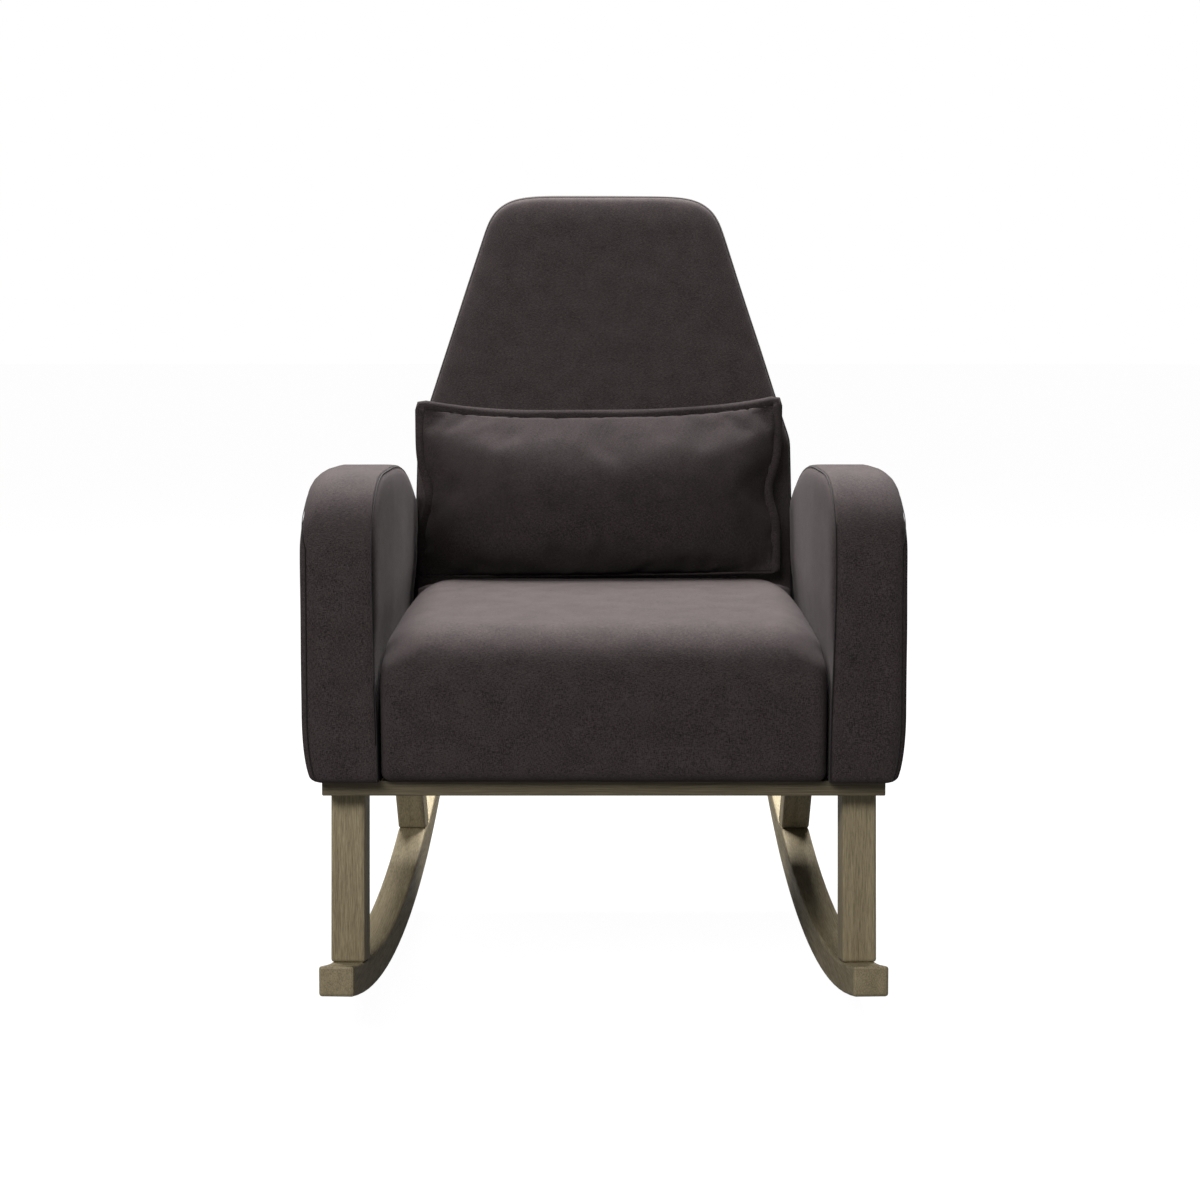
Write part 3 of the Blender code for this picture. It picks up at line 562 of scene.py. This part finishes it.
def wood(name, grain, offset, dark, light):
    """Open-pored oak. The grain gives each axis's coarseness: small along the fibres."""
    material, tree, shader = new_material(name)
    wide = speckle(tree, toned(OAK_WIDE, grain), 2.0, 0.5, offset, distortion=0.1)
    streaks = speckle(tree, toned(OAK_STREAKS, grain), 3.0, 0.6, offset, distortion=0.05)
    pores = speckle(tree, toned(OAK_PORES, grain), 2.0, 0.5, offset)
    shade = mix(tree, "MIX", 0.70, wide, streaks)
    colour = ramp(tree, shade, [(0.36, dark), (0.64, light)])
    pits = ramp(tree, pores, [(0.36, 0.55), (0.50, 1.0)])
    colour = mix(tree, "MULTIPLY", 0.55, colour, pits)
    tree.links.new(colour, shader.inputs["Base Color"])
    rough = ramp(tree, streaks, [(0.3, 0.62), (0.7, 0.48)])
    tree.links.new(rough, shader.inputs["Roughness"])
    shader.inputs["Specular IOR Level"].default_value = 0.35
    bump(tree, shader, [(streaks, 0.25, 0.0005), (pits, 0.35, 0.0003)])
    return material


def simple(name, dark, light, scale, roughness, metallic=0.0, height=0.0002):
    """A plain material with fine mottling in its colour, gloss and surface."""
    material, tree, shader = new_material(name)
    grain = speckle(tree, scale, 3.0, 0.6)
    colour = ramp(tree, grain, [(0.35, dark), (0.65, light)])
    tree.links.new(colour, shader.inputs["Base Color"])
    rough = ramp(tree, grain, [(0.3, roughness * 0.8), (0.7, roughness * 1.15)])
    tree.links.new(rough, shader.inputs["Roughness"])
    shader.inputs["Metallic"].default_value = metallic
    bump(tree, shader, [(grain, 0.3, height)])
    return material


FABRIC = fabric("mauve_grey_velvet")
# The same velvet, darkened: painted shade on the lumbar pillow
PILLOW_FABRIC_PAINTED_SHADE = fabric("pillow_velvet_painted_shade", PILLOW_PAINTED_SHADE)
# Dark cord material for the seams: painted shade for their creases
SEAM_SHADE_CORD = simple("seam_thread_painted_shade", SEAM_SHADE_DARK, SEAM_SHADE_LIGHT, (900,) * 3, 0.9)


def coat(obj, material):
    obj.data.materials.clear()
    obj.data.materials.append(material)


def dress(obj, body, material):
    coat(obj, material)
    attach(obj, body)


def sewn(shell, name, nodes, seams):
    """Builds a padded shell, creases it along its seams and lays a dark thread line in each,
    painted shade for the crease.
    """
    cover = shell.build(name)
    paths = [path for path, _ in seams]
    if paths:
        crease(cover, paths)
    soften(cover, seed=len(name))
    dress(cover, CHAIR, FABRIC)
    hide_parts(*nodes)
    for number, (path, closed) in enumerate(seams, start=1):
        line = cord(f"{name}_seam_{number}", path, closed)
        dress(line, CHAIR, SEAM_SHADE_CORD)


# Arms


def arm_shell(side, sign):
    """An arm's shell. Above the seat its inner face swells, and its front flares outward."""
    node = "arm_pad_" + side
    low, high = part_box(node)
    outer = high.x if sign > 0 else -low.x
    foot, front, rear = low.z, low.y, high.y
    seat_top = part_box("seat_pad")[1].z
    outline = outline_of(node, 0)

    def outer_side(flat, depth, normals):
        up = facing_up(normals, *ARM_UPWARD)
        across = ARM_OUTER_ROLL[0] + ARM_OUTER_TOP_ROLL[0] * up
        inset = ARM_OUTER_ROLL[1] + ARM_OUTER_TOP_ROLL[1] * up
        tuck = rounded(flat[:, 1] - foot, *ARM_FOOT_TUCK)
        return sign * (outer - rounded(depth, across, inset) - tuck)

    def inner_side(flat, depth, normals):
        share = (flat[:, 0] - front) / (rear - front)
        taper = smooth_step(0.2, 1.1, share)
        plane = ARM_INNER_FOOT + (ARM_INNER_REAR - ARM_INNER_FOOT) * taper
        height = smooth_step(foot, foot + ARM_FLARE_HEIGHT, flat[:, 1])
        plane += ARM_FRONT_FLARE * (height * (1 - smooth_step(0, 0.25, share)))
        up = facing_up(normals, *ARM_UPWARD)
        above = flat[:, 1] - seat_top
        swell = ARM_SWELL * smooth_step(ARM_SWELL_FROM, ARM_SWELL_TO, above)
        roll = rounded(np.maximum(depth - ARM_INNER_SEAM * up, 0), 1.0, ARM_SWELL_EDGE)
        lip = rounded(depth, *ARM_INNER_LIP) * up
        return sign * (plane + lip - swell * (1 - roll))

    up = facing_up(outward(outline), *ARM_UPWARD)
    outer_inset, inner_inset = ARM_OUTER_SEAM * up, ARM_INNER_SEAM * up
    if sign > 0:
        return Shell(0, outline, inner_side, outer_side, inner_inset, outer_inset)
    return Shell(0, outline, outer_side, inner_side, outer_inset, inner_inset)


def make_arm(side, sign):
    shell = arm_shell(side, sign)
    heights = shell.outline[:, 1]
    above = heights > heights.min() + ARM_SEAM_START
    seams = [(shell.seam(k, above), False) for k in (0, 1)]
    sewn(shell, "arm_" + side, ["arm_pad_" + side], seams)


for side_name, hand in SIDES.items():
    make_arm(side_name, hand)


# Seat


def make_seat():
    half_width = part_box("seat_pad")[1].x

    def side(depth, normals, sign):
        up = facing_up(normals, *SEAT_UPWARD)
        across = SEAT_ROLL[0] + SEAT_TOP_ROLL[0] * up
        inset = SEAT_ROLL[1] + SEAT_TOP_ROLL[1] * up
        return sign * (half_width - rounded(depth, across, inset))

    shell = Shell(
        0,
        outline_of("seat_pad", 0),
        lambda flat, depth, normals: side(depth, normals, -1),
        lambda flat, depth, normals: side(depth, normals, 1),
    )
    sewn(shell, "seat_cushion", ["seat_pad"], [])


make_seat()


# Backrest


def make_back():
    node = "back_pad"
    low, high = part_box(node)
    points = coordinates(NODES[node].data)
    # How far forward the pad's foot comes
    front_foot = points[points[:, 2] < low.z + 0.03, 1].min()
    outline = outline_of(node, 1, BACK_SOFTENING)
    normals = outward(outline)
    drawn_in = BACK_DRAWN_IN + BACK_CROWN_DRAWN_IN * facing_up(normals, *BACK_UPWARD)
    outline = outline - normals * drawn_in[:, None]

    def front_side(flat, depth, normals):
        plane = front_foot + (flat[:, 1] - low.z) * math.tan(BACK_LEAN)
        return plane + rounded(depth, *BACK_FRONT_ROLL)

    def rear_side(flat, depth, normals):
        plane = high.y + (flat[:, 1] - high.z) * math.tan(REAR_LEAN)
        return plane - rounded(depth, *BACK_REAR_ROLL)

    shell = Shell(1, outline, front_side, rear_side)
    cover = shell.build("back_cushion")
    seam = shell.seam(0, outline[:, 1] > low.z + BACK_SEAM_START)
    # The band between the two seams stands proud of them.
    points = coordinates(cover.data)
    tree = kdtree.KDTree(len(outline))
    for i, point in enumerate(outline):
        tree.insert((*point, 0), i)
    tree.balance()
    for point in points:
        _, nearest, away = tree.find((point[0], point[2], 0))
        if away > 1e-4:
            continue
        start = front_side(outline[nearest : nearest + 1], np.zeros(1), None)[0]
        end = rear_side(outline[nearest : nearest + 1], np.zeros(1), None)[0]
        share = (point[1] - start) / (end - start)
        swell = BACK_CROWN * (1 - abs(2 * share - 1) ** 3)
        point[0] += normals[nearest, 0] * swell
        point[2] += normals[nearest, 1] * swell
    set_coordinates(cover.data, points)
    crease(cover, [seam])
    soften(cover, height=0.001, size=0.12, seed=3.0)
    dress(cover, CHAIR, FABRIC)
    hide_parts(node)
    # A dark cord along the seam: painted shade for its crease
    line = cord("back_cushion_seam", seam, False)
    dress(line, CHAIR, SEAM_SHADE_CORD)


make_back()


def make_outside_back():
    node = "outside_back_panel"
    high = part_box(node)[1]

    def plane(flat):
        return high.y + (flat[:, 1] - high.z) * math.tan(REAR_LEAN)

    def front_side(flat, depth, normals):
        return plane(flat) - OUTSIDE_BACK_DEPTH

    def rear_side(flat, depth, normals):
        return plane(flat) - rounded(depth, *OUTSIDE_BACK_ROLL)

    outline = outline_of(node, 1, BACK_SOFTENING)
    outline = outline - outward(outline) * BACK_DRAWN_IN
    shell = Shell(1, outline, front_side, rear_side)
    seam = shell.seam(1)
    sewn(shell, "outside_back", [node], [(seam, True)])


make_outside_back()


# Lumbar pillow


PILLOW_LOW, PILLOW_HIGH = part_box(PILLOW)


def rim_point(u, v):
    """Where the pillow's seam runs, across and up in its own plane. u is -1 to 1, v is 0 to 1."""
    half_width = PILLOW_HIGH.x + PILLOW_SPREAD - PILLOW_FLANGE
    sag = RIM_SAG * (1 - abs(u) ** 3) * v
    near_pinch = math.exp(-(((v - RIM_PINCH_HEIGHT) / RIM_PINCH_REACH) ** 2))
    pinch = RIM_PINCH * near_pinch * abs(u) ** 6
    x = u * (half_width - pinch - RIM_FOOT_TAPER * (1 - v))
    return x, v * PILLOW_HEIGHT - sag


def fullness(u, v):
    """How full the pillow is there, from 0 at its seam to 1: fullest just below the middle."""
    w = 2 * v**0.92 - 1
    upright = (1 - abs(w) ** 2.1) ** 0.66 if w > 0 else (1 - abs(w) ** 1.9) ** 0.85
    return (1 - abs(u) ** 3.6) ** 0.82 * upright


def leant(x, depth, up):
    """A point of the pillow's own plane, put where the pillow leans on the backrest."""
    up += x * PILLOW_TILT
    sine, cosine = math.sin(PILLOW_LEAN), math.cos(PILLOW_LEAN)
    foot = PILLOW_HIGH.y - sine * PILLOW_HEIGHT - PILLOW_REAR_FILL / cosine
    y = foot + (up * sine + depth * cosine)
    z = PILLOW_LOW.z - PILLOW_SUNK + (up * cosine - depth * sine)
    return x + PILLOW_OFF_CENTRE, y, z


def pillow_steps():
    """Steps across (-1 to 1) and up (0 to 1), closer together near the seam."""
    columns, rows = PILLOW_COLUMNS, PILLOW_ROWS
    us = [-math.cos(math.pi * i / columns) for i in range(columns + 1)]
    us = [0.5 * u + 0.5 * (2 * i / columns - 1) for i, u in enumerate(us)]
    vs = [(1 - math.cos(math.pi * j / rows)) / 2 for j in range(rows + 1)]
    vs = [0.5 * v + 0.5 * j / rows for j, v in enumerate(vs)]
    return us, vs


def pillow_cover(us, vs):
    """Two filled panels that share their seam."""
    columns, rows = PILLOW_COLUMNS, PILLOW_ROWS
    mesh = bpy.data.meshes.new("lumbar_pillow_cover")
    shape = bmesh.new()
    grids, seam = {}, []
    for face, fill in (("front", -PILLOW_FRONT_FILL), ("rear", PILLOW_REAR_FILL)):
        for i, u in enumerate(us):
            for j, v in enumerate(vs):
                on_rim = i in (0, columns) or j in (0, rows)
                if on_rim and face == "rear":
                    grids[face, i, j] = grids["front", i, j]
                    continue
                x, up = rim_point(u, v)
                full = fullness(u, v)
                sag = FILL_SAG * full * (1 - v) ** 2
                grids[face, i, j] = shape.verts.new(leant(x, fill * full, up - sag))
                if on_rim:
                    seam.append(grids[face, i, j])
        for i in range(columns):
            for j in range(rows):
                corners = [(i, j), (i + 1, j), (i + 1, j + 1), (i, j + 1)]
                shape.faces.new([grids[(face, *corner)] for corner in corners])
    shape.verts.index_update()
    held = sorted(vert.index for vert in seam)
    cover = link_shape("lumbar_pillow_cover", shape, mesh)
    inflate(cover, held)
    return cover


def pillow_flange(us, vs):
    """A thin flat strip, sewn on all round and crushed under the pillow's foot."""
    loop = [(u, 0.0) for u in us] + [(1.0, v) for v in vs[1:]]
    loop += [(u, 1.0) for u in us[-2::-1]] + [(-1.0, v) for v in vs[-2:0:-1]]
    seam = np.array([rim_point(u, v) for u, v in loop])
    normals = outward(seam)
    crushed = np.array([FLANGE_CRUSHED if v == 0 else 1.0 for u, v in loop])
    mesh = bpy.data.meshes.new("lumbar_pillow_flange")
    shape = bmesh.new()
    rings = []
    for reach, depth in FLANGE_SECTION:
        ring = []
        for x, up in seam + normals * (reach * crushed)[:, None]:
            wave = 0.0012 * math.sin(37 * x) + 0.001 * math.sin(61 * up)
            forward = -depth + wave * max(reach, 0) / PILLOW_FLANGE
            ring.append(shape.verts.new(leant(x, forward, up)))
        rings.append(ring)
    for first, second in zip(rings, rings[1:] + rings[:1]):
        for k in range(len(loop)):
            m = (k + 1) % len(loop)
            shape.faces.new([first[k], first[m], second[m], second[k]])
    return link_shape("lumbar_pillow_flange", shape, mesh)


def make_pillow():
    """Two panels sewn inside a flat flange, leant on the backrest and pinched at their ends."""
    us, vs = pillow_steps()
    cover = pillow_cover(us, vs)
    flange = pillow_flange(us, vs)
    for piece in (cover, flange):
        dress(piece, PILLOW, PILLOW_FABRIC_PAINTED_SHADE)
    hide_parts("lumbar_pillow")


make_pillow()


# Dust cover


def make_dust_cover():
    """A thin cloth stapled flat under the seat frame, sagging a little between its staples."""
    node = "dust_cover"
    low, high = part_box(node)
    width, length = high.x - low.x, high.y - low.y
    columns, rows, sag = 24, 22, 0.004
    points, faces = [], []
    for j in range(rows + 1):
        for i in range(columns + 1):
            u, v = 2 * i / columns - 1, 2 * j / rows - 1
            drop = sag * (1 - u**2) * (1 - v**2)
            points.append((u * width / 2, low.y + (v + 1) * length / 2, high.z - drop))
    for j in range(rows):
        for i in range(columns):
            k = j * (columns + 1) + i
            faces.append([k, k + columns + 1, k + columns + 2, k + 1])
    mesh = bpy.data.meshes.new("underside_cloth")
    mesh.from_pydata(points, [], faces)
    mesh.shade_smooth()
    cloth = link("underside_cloth", mesh)
    black = simple("dust_cloth", (0.008,) * 3, (0.02,) * 3, (600,) * 3, 0.9)
    dress(cloth, CHAIR, black)
    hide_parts(node)


make_dust_cover()


# Wooden pieces and the hidden ones


def finish_wood():
    """Oak for each visible board and leg, its fibres along the piece, no two cut alike."""
    # How coarse the grain is along each axis
    upright = (1.0, 0.8, 0.018)
    lengthwise = (0.018, 0.8, 1.0)
    fore_and_aft = (1.0, 0.018, 0.5)
    grains = {
        "front_leg": upright,
        "rear_leg": upright,
        "plinth_front_rail": lengthwise,
        "plinth_rear_rail": lengthwise,
        "plinth_side_rail": fore_and_aft,
        "rocker_left": fore_and_aft,
        "rocker_right": fore_and_aft,
    }
    number = 0
    for name, node in sorted(NODES.items()):
        for start, grain in grains.items():
            if not name.startswith(start):
                continue
            number += 1
            offset = (number * 0.37, number * 0.53, number * 0.71)
            # The plinth rails' oak is darkened: mostly painted shade for the shadow under the
            # body's overhang, partly their own darker tone
            tone = OAK_PAINTED_SHADE if name.startswith("plinth") else 1
            dark, light = toned(tone, OAK_DARK), toned(tone, OAK_LIGHT)
            coat(node, wood("oak_" + name, grain, offset, dark, light))


def finish_hidden():
    """Materials of the frame, the springs and webbing, and the fasteners."""
    hardwood = wood("frame_wood", (0.3, 0.05, 1.0), (0, 0, 0), FRAME_DARK, FRAME_LIGHT)
    webbing = simple("webbing", WEBBING_DARK, WEBBING_LIGHT, (60, 900, 900), 0.9)
    zinc = simple("zinc", (0.45,) * 3, (0.62,) * 3, (300,) * 3, 0.35, 1.0, 0.00005)
    wire = simple("spring_wire", (0.05,) * 3, (0.10,) * 3, (200,) * 3, 0.4, 1.0, 0.00005)
    clip = simple("clip", CLIP_DARK, CLIP_LIGHT, (400,) * 3, 0.5)
    finishes = {
        "frame_hardwood": hardwood,
        "elastic_webbing": webbing,
        "zinc_plated_steel": zinc,
        "spring_steel": wire,
        "clip_plastic": clip,
    }
    slots = {part["node"]: part["material_slot"] for part in frame["record"]["subparts"]}
    for name, node in NODES.items():
        if slots[name] in finishes:
            coat(node, finishes[slots[name]])


finish_wood()
finish_hidden()


# Stage


def area_light(name, place, target, size, power):
    light = bpy.data.lights.new(name, "AREA")
    light.shape = "RECTANGLE"
    light.size, light.size_y = size
    light.energy = power
    obj = link(name, light)
    obj.location = place
    obj.rotation_euler = (Vector(target) - Vector(place)).to_track_quat("-Z", "Y").to_euler()


def bright_for_camera(tree, socket, seen, lit):
    """One strength where the camera looks straight at it, another for the light it casts."""
    path = tree.nodes.new("ShaderNodeLightPath")
    strength = tree.nodes.new("ShaderNodeMapRange")
    strength.inputs["To Min"].default_value = lit
    strength.inputs["To Max"].default_value = seen
    tree.links.new(path.outputs["Is Camera Ray"], strength.inputs["Value"])
    tree.links.new(strength.outputs["Result"], socket)


def make_stage():
    """A white floor and world that cast little light, and two soft lamps above the chair."""
    bpy.ops.mesh.primitive_plane_add(size=60, location=(0, 0, -0.0005))
    floor = bpy.context.object
    floor.name = "floor"
    material, tree, shader = new_material("pale_floor")
    shader.inputs["Base Color"].default_value = (0.07, 0.07, 0.07, 1)
    shader.inputs["Roughness"].default_value = 0.9
    shader.inputs["Specular IOR Level"].default_value = 0.0
    shader.inputs["Emission Color"].default_value = (1, 1, 1, 1)
    bright_for_camera(tree, shader.inputs["Emission Strength"], 0.98, 0.12)
    floor.data.materials.append(material)

    world = bpy.data.worlds.new("studio")
    bpy.context.scene.world = world
    world.use_nodes = True
    tree = world.node_tree
    background = tree.nodes["Background"]
    background.inputs["Color"].default_value = (1, 1, 1, 1)
    bright_for_camera(tree, background.inputs["Strength"], 1.0, 0.07)

    area_light(
        "top_softbox", place=(-0.06, 1.05, 3.0), target=(0, -0.05, 0.45), size=(2.0, 1.2), power=345
    )
    area_light(
        "front_softbox", place=(-1.4, -3.0, 2.6), target=(0, 0, 0.4), size=(2.6, 1.2), power=112
    )


def make_camera():
    camera = bpy.data.cameras.new("camera")
    camera.lens = LENS
    camera.sensor_width = 36
    camera.shift_x = SHIFT_X
    camera.shift_y = SHIFT_Y
    obj = link("camera", camera)
    obj.location = (0, CAD_BOX[0].y - CAMERA_DISTANCE, CAMERA_HEIGHT)
    obj.rotation_euler = (math.pi / 2 - CAMERA_PITCH, 0, 0)
    bpy.context.scene.camera = obj


make_stage()
make_camera()
bpy.context.scene.view_settings.view_transform = "Standard"
